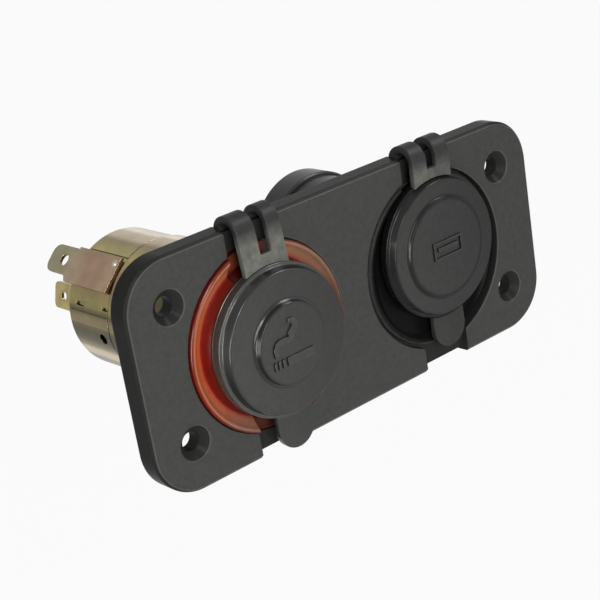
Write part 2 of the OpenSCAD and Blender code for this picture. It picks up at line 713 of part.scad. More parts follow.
// Nut with a long sleeve that bears on the panel and a grip collar at its rear
module clamp_nut() color("#2f3030") translate([charger_x, 0, 0]) {
    grip_y = grip_end_y - grip_len;
    turned([
        [clamp_bore_r, 0], [clamp_r, 0], [clamp_r, grip_y], [grip_r - 0.5, grip_y], [grip_r, grip_y + 0.5],
        [grip_r, grip_end_y - 0.5], [grip_r - 0.5, grip_end_y], [clamp_bore_r, grip_end_y]
    ]);
}

module charger_back() color("#343535") translate([charger_x, 0, 0]) {
    difference() {
        union() {
            rod(charger_bore_r - slip / 2, charger_end_y - charger_back_depth, charger_end_y + past / 2);
            rod(charger_body_r - 0.4, charger_end_y, charger_end_y + charger_back_t);
        }
        for (x = [-charger_blade_x, charger_blade_x])
            block(x - blade_t / 2 - thread_gap, x + blade_t / 2 + thread_gap,
                charger_end_y - charger_back_depth - past, charger_end_y + charger_back_t + past,
                -blade_w / 2 - thread_gap, blade_w / 2 + thread_gap);
    }
}

// A blade of the charger: it stands upright through the back and straddles the board's edge
module charger_blade(x) {
    root_y = board_back_y - 1.5;
    blade_y = charger_end_y + charger_back_t;
    difference() {
        union() {
            translate([x + blade_t / 2, blade_y, 0]) rotate([0, -90, 0]) plug_on_end(blade_len);
            block(x - blade_t / 2, x + blade_t / 2, root_y, blade_y, -blade_w / 2, blade_w / 2);
        }
        block(x - blade_t, x + blade_t, root_y - past, board_back_y, -board_t / 2, board_t / 2);
    }
}

module charger_positive_blade() color("#c9b37a") translate([charger_x, 0, 0]) charger_blade(-charger_blade_x);

module charger_negative_blade() color("#c9b37a") translate([charger_x, 0, 0]) charger_blade(charger_blade_x);

panel_plate();
outlet_barrel();
light_ring();
outlet_can();
can_nut();
ground_blade();
ground_rivet();
contact_seat();
centre_contact();
contact_bush();
contact_stud();
positive_blade();
stud_nut();
lamp_holder();
ring_lamp();
power_cap();
power_cap_tether();
charger_body();
charger_face();
port_shells();
port_tongues();
charger_board();
converter_coil();
input_capacitor();
output_capacitor();
clamp_nut();
charger_back();
charger_positive_blade();
charger_negative_blade();
charger_cap();
charger_cap_tether();
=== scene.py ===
import json
import math

import bmesh
import bpy
from mathutils import Matrix, Vector


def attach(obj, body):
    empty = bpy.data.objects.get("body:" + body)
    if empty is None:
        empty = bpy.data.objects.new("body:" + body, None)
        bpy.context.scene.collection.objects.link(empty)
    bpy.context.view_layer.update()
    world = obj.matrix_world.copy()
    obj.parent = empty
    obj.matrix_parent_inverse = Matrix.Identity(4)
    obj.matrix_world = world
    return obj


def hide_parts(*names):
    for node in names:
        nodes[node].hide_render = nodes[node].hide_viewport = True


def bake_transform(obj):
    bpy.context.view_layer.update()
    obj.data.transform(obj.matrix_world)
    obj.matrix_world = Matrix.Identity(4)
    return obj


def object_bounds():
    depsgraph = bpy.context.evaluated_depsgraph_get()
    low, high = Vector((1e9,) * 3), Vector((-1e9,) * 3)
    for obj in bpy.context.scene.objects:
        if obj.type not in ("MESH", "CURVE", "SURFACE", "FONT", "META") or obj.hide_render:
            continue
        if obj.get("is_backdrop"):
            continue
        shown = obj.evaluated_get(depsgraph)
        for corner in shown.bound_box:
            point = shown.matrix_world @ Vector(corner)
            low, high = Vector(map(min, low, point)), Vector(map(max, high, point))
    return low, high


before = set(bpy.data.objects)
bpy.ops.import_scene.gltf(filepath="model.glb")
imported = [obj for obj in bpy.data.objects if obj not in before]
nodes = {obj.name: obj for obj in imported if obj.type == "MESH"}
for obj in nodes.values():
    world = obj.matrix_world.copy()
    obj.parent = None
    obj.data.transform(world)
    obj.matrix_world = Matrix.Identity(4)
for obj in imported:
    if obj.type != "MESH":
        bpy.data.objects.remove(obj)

MM = 0.001


def plain_bounds():
    return json.loads(json.dumps([list(map(float, p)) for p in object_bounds()]))


size = {"at_load": plain_bounds()}

# Sizes that the pieces share with the part's source, in millimetres
PANEL_T = 5.2
OUTLET_X, CHARGER_X = -25.7, 25.7
CHARGER_CAP_Z = 3.6
CAP_R = 17.0
OUTLET_DISC_R, CHARGER_DISC_R = 9.7, 12.1
OUTLET_DISC_Y, CHARGER_DISC_Y = -13.2, -9.5
HINGE_R = 4.05
HINGE_Z = 24.7

# Edges that turn more than this stay sharp, in degrees
SHARP_EDGE = 38


# Materials
def node(tree, kind, inputs=None):
    """Adds a shader node; each input is a value or the output that feeds it."""
    added = tree.nodes.new("ShaderNode" + kind)
    for key, value in (inputs or {}).items():
        if isinstance(value, bpy.types.NodeSocket):
            tree.links.new(value, added.inputs[key])
        else:
            added.inputs[key].default_value = value
    return added


def math_node(tree, operation, *values):
    added = node(tree, "Math", dict(enumerate(values)))
    added.operation = operation
    return added.outputs[0]


def surface(name, dark, light, rough, metallic=0.0, grain=900.0,
            bump=0.0, bump_grain=2500.0, edge=0.0, **sockets):
    """A procedural surface: noise mixes two colours, varies the roughness and lifts a fine bump.

    The shading of edges is rounded over edge millimetres.
    """
    m = bpy.data.materials.new(name)
    m.use_nodes = True
    t = m.node_tree
    shader = t.nodes["Principled BSDF"]
    place = node(t, "TexCoord").outputs["Object"]
    noise = node(t, "TexNoise", {"Vector": place, "Scale": grain, "Detail": 4.0}).outputs["Fac"]
    ramp = node(t, "ValToRGB", {"Fac": noise})
    for stop, at, colour in zip(ramp.color_ramp.elements, (0.35, 0.65), (dark, light)):
        stop.position = at
        stop.color = (*colour, 1)
    t.links.new(ramp.outputs["Color"], shader.inputs["Base Color"])
    span = node(t, "MapRange", {"Value": noise, "To Min": rough[0], "To Max": rough[1]})
    t.links.new(span.outputs["Result"], shader.inputs["Roughness"])
    normal = None
    if edge:
        soft = node(t, "Bevel", {"Radius": edge * MM})
        soft.samples = 6
        normal = soft.outputs["Normal"]
    if bump:
        fine = node(t, "TexNoise", {"Vector": place, "Scale": bump_grain, "Detail": 3.0})
        lift = node(t, "Bump", {"Strength": bump, "Distance": 0.1 * MM, "Height": fine.outputs["Fac"]})
        if normal:
            t.links.new(normal, lift.inputs["Normal"])
        normal = lift.outputs["Normal"]
    if normal:
        t.links.new(normal, shader.inputs["Normal"])
    shader.inputs["Metallic"].default_value = metallic
    for key, value in sockets.items():
        shader.inputs[key.replace("_", " ")].default_value = value
    return m


def tinted(m, value, stops):
    """Multiplies a material's colour by a ramp that a value runs through; one number is a grey."""
    t = m.node_tree
    ramp = node(t, "ValToRGB", {"Fac": value})
    while len(ramp.color_ramp.elements) < len(stops):
        ramp.color_ramp.elements.new(0.5)
    for stop, (at, tint) in zip(ramp.color_ramp.elements, stops):
        stop.position = at
        stop.color = (*tint, 1) if isinstance(tint, tuple) else (tint, tint, tint, 1)
    base = t.nodes["Principled BSDF"].inputs["Base Color"]
    mix = node(t, "Mix")
    mix.data_type = "RGBA"
    mix.blend_type = "MULTIPLY"
    mix.inputs["Factor"].default_value = 1.0
    t.links.new(ramp.outputs["Color"], mix.inputs["A"])
    t.links.new(base.links[0].from_socket, mix.inputs["B"])
    t.links.new(mix.outputs["Result"], base)


def place_value(m, kind, low, high, axis=(OUTLET_X, 0), wobble=0.0, grain=0.0, stretch=(1, 1, 1)):
    """A place on the part, as 0 at low to 1 at high.

    The kinds are the "radius" from an axis along Y, the outlet's by default, the "turn" round it,
    the distance "beside" it, the place "across" it and the "depth" along Y. Noise wobbles the value.
    """
    t = m.node_tree
    where = node(t, "TexCoord").outputs["Object"]
    shift = node(t, "VectorMath", {0: where, 1: (axis[0] * MM, 0, axis[1] * MM)})
    shift.operation = "SUBTRACT"
    x, y, z = node(t, "SeparateXYZ", {0: shift.outputs["Vector"]}).outputs
    if kind == "turn":
        value = math_node(t, "ARCTAN2", z, x)
    elif kind == "radius":
        length = node(t, "VectorMath", {0: node(t, "CombineXYZ", {"X": x, "Z": z}).outputs[0]})
        length.operation = "LENGTH"
        value = length.outputs["Value"]
    elif kind == "beside":
        value = math_node(t, "ABSOLUTE", x)
    else:
        value = {"across": x, "depth": y}[kind]
    value = node(t, "MapRange", {"Value": value, "From Min": low, "From Max": high}).outputs["Result"]
    if wobble:
        along = node(t, "Mapping", {"Vector": where, "Scale": stretch}).outputs["Vector"]
        noise = node(t, "TexNoise", {"Vector": along, "Scale": grain, "Detail": 3.0}).outputs["Fac"]
        even = node(t, "MapRange", {"Value": noise, "To Min": -wobble, "To Max": wobble})
        value = math_node(t, "ADD", value, even.outputs["Result"])
    return value


panel_black = surface(
    "panel_black", (0.060, 0.061, 0.057), (0.068, 0.069, 0.065), (0.24, 0.34),
    bump=0.05, bump_grain=5200, edge=0.45, Specular_IOR_Level=0.02)
housing_black = surface(
    "housing_black", (0.046, 0.046, 0.046), (0.054, 0.054, 0.054), (0.28, 0.38),
    bump=0.05, edge=0.3, Specular_IOR_Level=0.18)
bezel_black = surface(
    "bezel_black", (0.020, 0.020, 0.020), (0.027, 0.027, 0.026), (0.30, 0.40),
    bump=0.02, edge=0.25, Specular_IOR_Level=0.04)
outlet_rubber = surface(
    "outlet_rubber", (0.036, 0.037, 0.034), (0.042, 0.043, 0.040), (0.18, 0.26),
    bump=0.03, bump_grain=2600, Specular_IOR_Level=0.32)
charger_rubber = surface(
    "charger_rubber", (0.036, 0.037, 0.035), (0.042, 0.043, 0.041), (0.18, 0.26),
    bump=0.03, bump_grain=2600, Specular_IOR_Level=0.14)
strap_rubber = surface(
    "strap_rubber", (0.86, 0.86, 0.86), (1.0, 1.0, 1.0), (0.34, 0.46),
    bump=0.10, bump_grain=3600, Specular_IOR_Level=0.08)
ring_red = surface(
    "ring_red", (0.86, 0.86, 0.86), (1.0, 1.0, 1.0), (0.18, 0.26),
    grain=500, Specular_IOR_Level=0.2)
zinc_gold = surface(
    "zinc_gold", (0.80, 0.78, 0.66), (0.97, 0.94, 0.82), (0.20, 0.32),
    metallic=1.0, grain=240, bump=0.04, edge=0.2)
zinc_plain = surface(
    "zinc_plain", (0.30, 0.29, 0.22), (0.42, 0.40, 0.32), (0.24, 0.36),
    metallic=1.0, grain=400)
strip_tin = surface(
    "strip_tin", (0.84, 0.84, 0.84), (1.0, 1.0, 1.0), (0.26, 0.38),
    metallic=1.0, grain=300, bump=0.08, bump_grain=900, edge=0.25)
nickel = surface(
    "nickel", (0.58, 0.58, 0.56), (0.68, 0.68, 0.66), (0.32, 0.40),
    metallic=1.0, grain=600)
brass = surface(
    "brass_plate", (0.28, 0.225, 0.095), (0.38, 0.31, 0.14), (0.24, 0.36),
    metallic=1.0, grain=420, edge=0.2)
phenolic = surface("phenolic", (0.10, 0.038, 0.018), (0.15, 0.060, 0.028), (0.45, 0.58), grain=700)
port_white = surface("port_white", (0.66, 0.66, 0.62), (0.74, 0.74, 0.70), (0.35, 0.45), grain=700)
board_green = surface("board_green", (0.020, 0.10, 0.040), (0.030, 0.14, 0.058), (0.30, 0.42), grain=1200)
coil_dark = surface("coil_dark", (0.10, 0.062, 0.040), (0.15, 0.092, 0.055), (0.50, 0.62), grain=900)
sleeve_blue = surface("sleeve_blue", (0.030, 0.036, 0.075), (0.042, 0.050, 0.100), (0.25, 0.36), grain=800)
lamp_glass = surface(
    "lamp_glass", (0.84, 0.78, 0.60), (0.92, 0.87, 0.70), (0.06, 0.12),
    grain=500, Transmission_Weight=0.6)

# The ring is red plastic, deep red at its edges; a painted highlight runs orange along its crest, painted shade
# darkens it next to the cap, and painted light makes it brighter at its left and darker from its bottom round to
# its right
tinted(ring_red, place_value(ring_red, "radius", 0.017, 0.022, wobble=0.02, grain=60.0), [
    (0.04, (0.16, 0.010, 0.006)), (0.11, (0.30, 0.026, 0.014)), (0.19, (0.50, 0.092, 0.044)),
    (0.32, (0.52, 0.145, 0.070)), (0.48, (0.52, 0.150, 0.074)), (0.66, (0.38, 0.115, 0.056)),
    (0.725, (0.50, 0.18, 0.09)), (0.755, (0.22, 0.028, 0.014)), (0.85, (0.15, 0.010, 0.006))])
tinted(ring_red, place_value(ring_red, "turn", -math.pi, math.pi), [
    (0.00, (1.15, 1.0, 0.75)), (0.10, (0.95, 1.0, 1.0)), (0.15, (0.62, 0.90, 1.2)),
    (0.24, (0.50, 0.80, 1.0)), (0.28, (0.16, 0.14, 0.16)), (0.50, (0.22, 0.26, 0.30)),
    (0.57, (0.50, 0.85, 1.1)), (0.66, (0.72, 1.15, 1.4)), (0.86, (1.10, 1.2, 1.2)),
    (0.95, (1.2, 1.1, 0.85)), (1.0, (1.15, 1.0, 0.75))])
# Painted shade darkens it in the notches for the strap and the tab
tinted(ring_red, place_value(ring_red, "beside", 0.0071, 0.0074), [(0.0, (0.30, 0.20, 0.22)), (1.0, 1)])
# Painted shade darkens the barrel round its flange, which lies between the cap and the ring, more than in its bore
tinted(nickel, place_value(nickel, "depth", -0.006, 0.0), [(0.5, (0.15, 0.15, 0.13)), (0.8, 1)])
# Painted light on the panel: a painted highlight along its front edge's bevel, and painted shade down its sides, in
# its recesses and in its countersinks, which are darker than its front
tinted(panel_black, place_value(panel_black, "depth", -PANEL_T * MM, -0.0040), [
    (0.03, 1), (0.09, (1.8, 1.8, 1.75)), (0.20, (1.4, 1.4, 1.36)), (0.30, 0.40), (0.45, 0.48), (1.0, 0.42)])
# Painted light on the charger's bezel: a painted highlight along its edge, and painted shade in its corner and at
# its right
tinted(bezel_black, place_value(bezel_black, "radius", 0, 0.022, axis=(CHARGER_X, 0)), [
    (0.86, 0.20), (0.905, 0.4), (0.93, (2.2, 2.2, 2.1)), (0.96, (1.5, 1.5, 1.45))])
tinted(bezel_black, place_value(bezel_black, "turn", -math.pi, math.pi, axis=(CHARGER_X, 0)), [
    (0.20, 1), (0.32, 0.3), (0.70, 0.3), (0.82, 1)])


def shaded_cap(rubber, axis, disc_r, disc_y, skirt):
    """Paints light and shade on a cap: painted shade round its disc and along the edge of its face, painted light
    falling off towards its right, painted shade down its sign's sides with a painted highlight on its top, and on
    its skirt the skirt value, above 1 a painted highlight and below 1 painted shade.
    """
    span = 20
    tinted(rubber, place_value(rubber, "radius", 0, span * MM, axis=axis), [
        ((disc_r - 1.3) / span, 1), ((disc_r - 0.7) / span, 0.42), ((disc_r + 0.05) / span, 0.36),
        ((disc_r + 0.4) / span, 1), (0.765, 0.95), (0.785, 0.50), (0.810, 0.45),
        (0.825, skirt), (0.855, skirt), (0.870, 1)])
    tinted(rubber, place_value(rubber, "across", -CAP_R * MM, CAP_R * MM, axis=axis), [
        (0.0, (1.30, 1.30, 1.28)), (0.30, (1.08, 1.08, 1.07)), (0.70, 0.80), (1.0, 0.58)])
    tinted(rubber, place_value(rubber, "depth", (disc_y - 1) * MM, (disc_y + 1) * MM), [
        (0.285, 1.2), (0.300, 0.22), (0.485, 0.25), (0.495, 1)])


# Painted highlight on the outlet cap's skirt, and painted shade on the charger cap's skirt
shaded_cap(outlet_rubber, (OUTLET_X, 0), OUTLET_DISC_R, OUTLET_DISC_Y, 1.35)
shaded_cap(charger_rubber, (CHARGER_X, CHARGER_CAP_Z), CHARGER_DISC_R, CHARGER_DISC_Y, 0.16)
# Painted shade: the clamp nut is darker on its threads, which lie in the panel's shadow, than on its collar
tinted(housing_black, place_value(housing_black, "depth", 0.033, 0.036), [(0.3, 0.35), (0.6, 1)])
# Yellow passivation runs from olive to pinkish brown round the can; painted reflections lay bright and dark bands
# along it with painted highlights, and painted shade darkens it near the panel
can_turn = place_value(zinc_gold, "turn", -math.pi, math.pi, wobble=0.010, grain=120.0, stretch=(1, 0.12, 1))
tinted(zinc_gold, can_turn, [
    (0.000, (0.16, 0.13, 0.075)), (0.018, (0.075, 0.067, 0.040)), (0.040, (0.085, 0.075, 0.045)),
    (0.056, (0.24, 0.20, 0.14)), (0.068, (0.64, 0.54, 0.42)), (0.086, (0.60, 0.50, 0.40)),
    (0.100, (0.14, 0.105, 0.065)), (0.132, (0.10, 0.085, 0.055)), (0.160, (0.36, 0.29, 0.22)),
    (0.200, (0.20, 0.175, 0.095)), (0.300, (0.26, 0.23, 0.125)), (0.400, (0.19, 0.16, 0.09)),
    (0.480, (0.30, 0.26, 0.14)), (0.560, (0.17, 0.145, 0.08)), (0.620, (0.33, 0.28, 0.17)),
    (0.690, (0.46, 0.38, 0.30)), (0.722, (0.74, 0.68, 0.60)), (0.736, (0.43, 0.36, 0.29)),
    (0.768, (0.42, 0.34, 0.26)), (0.782, (0.20, 0.16, 0.09)), (0.800, (0.25, 0.215, 0.10)),
    (0.825, (0.33, 0.29, 0.15)), (0.870, (0.26, 0.18, 0.11)), (0.915, (0.22, 0.17, 0.09)),
    (0.945, (0.26, 0.225, 0.11)), (0.958, (0.23, 0.20, 0.10)), (0.967, (0.10, 0.083, 0.045)),
    (0.982, (0.23, 0.19, 0.12))])
tinted(zinc_gold, place_value(zinc_gold, "depth", 0.0, 0.05), [(0.34, (0.34, 0.36, 0.40)), (0.44, 1)])
tinted(strip_tin, place_value(strip_tin, "depth", 0.032, 0.06, wobble=0.10, grain=160.0), [
    (0.10, (0.30, 0.205, 0.135)), (0.42, (0.27, 0.175, 0.115)), (0.62, (0.31, 0.24, 0.16)),
    (0.74, (0.24, 0.215, 0.125)), (0.95, (0.23, 0.215, 0.14))])


def painted_sheen_share(m, grain):
    """The share of painted highlight on the strap, from its mesh's per-point values, broken up by noise."""
    t = m.node_tree
    painted_sheen = node(t, "Attribute")
    painted_sheen.attribute_name = "painted_sheen"
    where = node(t, "TexCoord").outputs["Object"]
    noise = node(t, "TexNoise", {"Vector": where, "Scale": grain, "Detail": 3.0}).outputs["Fac"]
    span = node(t, "MapRange", {"Value": noise, "From Min": 0.3, "From Max": 0.7, "To Min": 0.55, "To Max": 1.0})
    return math_node(t, "MULTIPLY", painted_sheen.outputs["Fac"], span.outputs["Result"])


# Painted highlight: the straps' rubber is lighter on their front legs, where light falls on them
tinted(strap_rubber, painted_sheen_share(strap_rubber, 420.0), [
    (0.0, (0.040, 0.041, 0.039)), (0.4, (0.095, 0.097, 0.088)), (1.0, (0.185, 0.190, 0.165))])

FINISH = {
    panel_black: ["panel_plate"],
    housing_black: ["clamp_nut", "charger_back", "lamp_holder", "charger_face"],
    bezel_black: ["charger_body"],
    outlet_rubber: ["power_cap"],
    charger_rubber: ["charger_cap"],
    strap_rubber: ["power_cap_tether", "charger_cap_tether"],
    ring_red: ["light_ring"],
    zinc_gold: ["outlet_can"],
    zinc_plain: ["can_nut", "ground_rivet", "stud_nut"],
    strip_tin: ["ground_blade"],
    nickel: ["outlet_barrel", "port_shells"],
    brass: ["centre_contact", "contact_stud", "positive_blade", "charger_positive_blade", "charger_negative_blade"],
    phenolic: ["contact_seat", "contact_bush"],
    port_white: ["port_tongues"],
    board_green: ["charger_board"],
    coil_dark: ["converter_coil"],
    sleeve_blue: ["input_capacitor", "output_capacitor"],
    lamp_glass: ["ring_lamp"],
}
for material, names in FINISH.items():
    for name in names:
        for s in nodes[name].material_slots:
            s.material = material


# Mesh helpers: all take millimetres
def arc(c, r, a0, a1, n=6):
    """Points of an arc about c from a0 to a1 degrees."""
    angles = [math.radians(a0 + (a1 - a0) * i / n) for i in range(n + 1)]
    return [(c[0] + r * math.cos(a), c[1] + r * math.sin(a)) for a in angles]


def eased(points, n=4):
    """Rounds each corner (a, b, radius) of a closed outline."""
    out = []
    for i, (a, b, r) in enumerate(points):
        if r <= 0:
            out.append((a, b))
            continue
        p, q, s = Vector((a, b)), Vector(points[i - 1][:2]), Vector(points[(i + 1) % len(points)][:2])
        u, v = (q - p).normalized(), (s - p).normalized()
        half = u.angle(v) / 2
        reach = min(r / math.tan(half), (q - p).length * 0.49, (s - p).length * 0.49)
        start, end = p + u * reach, p + v * reach
        for k in range(n + 1):
            f = k / n
            out.append(tuple(start * (1 - f) ** 2 + p * 2 * f * (1 - f) + end * f ** 2))
    return out


def vertex(bm, x, y, z):
    return bm.verts.new((x * MM, y * MM, z * MM))


def skin(bm, a, b):
    """Joins two rings of the same number of vertices."""
    for k in range(len(a)):
        j = (k + 1) % len(a)
        bm.faces.new((a[k], b[k], b[j], a[j]))


def turn(bm, outline, cx, cz, steps=144):
    """Turns a closed outline of (radius, y) about the line along Y through (cx, cz)."""
    rings = []
    for r, y in outline:
        if r < 1e-6:
            rings.append([vertex(bm, cx, y, cz)])
        else:
            angles = [2 * math.pi * k / steps for k in range(steps)]
            rings.append([vertex(bm, cx + r * math.cos(a), y, cz + r * math.sin(a)) for a in angles])
    for a, b in zip(rings, rings[1:] + rings[:1]):
        if len(a) == 1 and len(b) == 1:
            continue
        if len(a) == len(b):
            skin(bm, a, b)
            continue
        for k in range(steps):
            j = (k + 1) % steps
            bm.faces.new((a[0], b[k], b[j]) if len(a) == 1 else (a[k], b[0], a[j]))


def rounded(bm, faces, reach, segments):
    """Bevels every edge of the faces."""
    edges = list({e for f in faces for e in f.edges})
    bmesh.ops.bevel(bm, geom=edges, offset=reach * MM, segments=segments, profile=0.5, affect="EDGES")


def slab(bm, outline, y0, y1, ease):
    """A closed outline of (x, z) drawn out from y0 to y1, with its edges eased."""
    low = [vertex(bm, x, y0, z) for x, z in outline]
    high = [vertex(bm, x, y1, z) for x, z in outline]
    faces = [bm.faces.new(low), bm.faces.new(high)]
    for k in range(len(low)):
        j = (k + 1) % len(low)
        bm.faces.new((low[k], low[j], high[j], high[k]))
    rounded(bm, faces, ease, 3)


def smooth(mesh, sharp=SHARP_EDGE):
    mesh.polygons.foreach_set("use_smooth", [True] * len(mesh.polygons))
    mesh.set_sharp_from_angle(angle=math.radians(sharp))


def piece(name, bm, material, sharp=SHARP_EDGE):
    bmesh.ops.recalc_face_normals(bm, faces=bm.faces)
    mesh = bpy.data.meshes.new(name)
    bm.to_mesh(mesh)
    bm.free()
    mesh.materials.append(material)
    smooth(mesh, sharp)
    o = bpy.data.objects.new(name, mesh)
    bpy.context.scene.collection.objects.link(o)
    return o


def apply_modifiers(o, material):
    bpy.context.view_layer.update()
    mesh = bpy.data.meshes.new_from_object(o.evaluated_get(bpy.context.evaluated_depsgraph_get()))
    o.modifiers.clear()
    o.data = mesh
    mesh.materials.clear()
    mesh.materials.append(material)
    smooth(mesh)


# Caps
CAP_INNER_R = 15.2
CAP_FACE_T = 2.2
CAP_STEP_R, CAP_FACE_R = 16.35, 15.75
PLUG_FOOT = 2.0
TAB_W, TAB_REACH, TAB_T = 10.0, 25.0, 1.3
TAB_ROOT, TAB_EASE = 9, 0.35
SIGN_RISE, SIGN_SUNK, SIGN_EASE = 0.45, 0.1, 0.12


def smooth_path(points, n=5):
    """A curve through points, with n steps between each two."""
    out = []
    last = len(points) - 1
    for i in range(last):
        p0, p1, p2, p3 = (Vector(points[max(0, min(last, i + k))]) for k in (-1, 0, 1, 2))
        for k in range(n):
            t = k / n
            out.append(0.5 * (2 * p1 + (p2 - p0) * t + (2 * p0 - 5 * p1 + 4 * p2 - p3) * t * t
                              + (3 * p1 - p0 - 3 * p2 + p3) * t ** 3))
    return out + [Vector(points[-1])]


def ribbon(points, width):
    """Outline of a band along a smooth path, widest two thirds of the way along."""
    path = smooth_path(points)
    left, right = [], []
    for i, p in enumerate(path):
        d = (path[min(i + 1, len(path) - 1)] - path[max(i - 1, 0)]).normalized()
        f = i / (len(path) - 1)
        w = width / 2 * (0.6 + 0.4 * math.sin(math.pi * min(1, f / 1.3)) - 0.35 * max(0, f - 0.8) / 0.2)
        left.append((p.x - d.y * w, p.y + d.x * w))
        right.append((p.x + d.y * w, p.y - d.x * w))
    return left + right[::-1]


def bar(x0, x1, z0, z1):
    return [(x0, z0), (x1, z0), (x1, z1), (x0, z1)]


# Plain raised signs: a lit cigarette with its smoke, and the outline of a port
LIGHTER_SIGN = [bar(x0, x1, -4.2, -2.3) for x0, x1 in ((-2.5, 4.9), (-3.9, -3.1), (-5.0, -4.4), (-6.1, -5.6))]
LIGHTER_SIGN.append(ribbon([
    (-5.0, -1.4), (-5.1, 0.2), (-4.3, 1.4), (-2.6, 1.6), (-0.9, 1.6),
    (-0.5, 2.6), (0.4, 3.4), (0.9, 4.4), (0.4, 5.3), (-0.8, 5.6)], 1.7))
PORT_SIGN = [bar(-4.6, 4.6, 1.6, 2.1), bar(-4.6, 4.6, -2.1, -1.6), bar(-4.6, -4.1, -1.65, 1.65),
             bar(4.1, 4.6, -1.65, 1.65), bar(-3.2, 3.2, -0.2, 0.7)]


def cap(name, rubber, cx, cz, rim_y, step_y, face_y, disc_r, disc_y, sign, plug=None):
    """A cap with a raised disc, a finger tab, a sign and, if given, a plug (inner radius, outer radius, end)."""
    bm = bmesh.new()
    inside_y = face_y + CAP_FACE_T
    rise = face_y - disc_y
    turn(bm, eased([
        (0, inside_y, 0), (CAP_INNER_R, inside_y, 0.4), (CAP_INNER_R, rim_y, 0.15),
        (CAP_R, rim_y, 0.2), (CAP_R, step_y, 0.45), (CAP_STEP_R, step_y - 0.05, 0.5), (CAP_FACE_R, face_y, 0.35),
        (disc_r, face_y, 0.45), (disc_r - rise * 0.3, face_y - rise * 0.25, 0.3),
        (disc_r - rise * 0.4 - 0.15, disc_y, 0.16), (0, disc_y, 0)]), cx, cz)
    if plug:
        r0, r1, end_y = plug
        foot_y = face_y + PLUG_FOOT
        turn(bm, eased([(r0, foot_y, 0), (r1, foot_y, 0), (r1, end_y, 0.6), (r0, end_y, 0.3)]), cx, cz, 96)
    half = TAB_W / 2
    tip = [(cx + x, cz - TAB_REACH + half + z) for x, z in arc((0, 0), half, 0, -180, 24)]
    tab = [(cx + half, cz - TAB_ROOT)] + tip + [(cx - half, cz - TAB_ROOT)]
    slab(bm, tab, step_y, step_y + TAB_T, TAB_EASE)
    for outline in sign:
        slab(bm, [(cx + x, cz + z) for x, z in outline], disc_y - SIGN_RISE, disc_y + SIGN_SUNK, SIGN_EASE)
    return piece(name, bm, rubber)


power_cap = cap(
    "power_cap_rubber", outlet_rubber, OUTLET_X, 0, rim_y=-7.3, step_y=-9.64, face_y=-11.8,
    disc_r=OUTLET_DISC_R, disc_y=OUTLET_DISC_Y, sign=LIGHTER_SIGN, plug=(8.6, 10.6, -4.3))
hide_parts("power_cap")
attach(power_cap, "outlet_cap")
charger_cap = cap(
    "charger_cap_rubber", charger_rubber, CHARGER_X, CHARGER_CAP_Z, rim_y=-5.1, step_y=-7.08, face_y=-8.9,
    disc_r=CHARGER_DISC_R, disc_y=CHARGER_DISC_Y, sign=PORT_SIGN)
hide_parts("charger_cap")
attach(charger_cap, "charger_socket_cap")

# Straps
STRAP_W, STRAP_T, SLOT_W = 11.8, 1.6, 3.1
STRAP_RING = (14.6, 17.6)
STRAP_RISE_Z = 17.2
RISE_STEPS, LOOP_STEPS, FRONT_STEPS = 8, 36, 16
LOOP_BULGE = 0.12
STRAP_EDGE = 0.35
STRAP_EASE = 0.28
# The painted highlight on the straps' front legs begins below a height and in front of a depth, and grows over the
# lengths given with them
SHEEN_Z, SHEEN_GROWTH_Z = HINGE_Z + 0.8, 3.5
SHEEN_Y, SHEEN_GROWTH_Y = -5.5, 1.5


def share(value):
    return max(0.0, min(1.0, value))


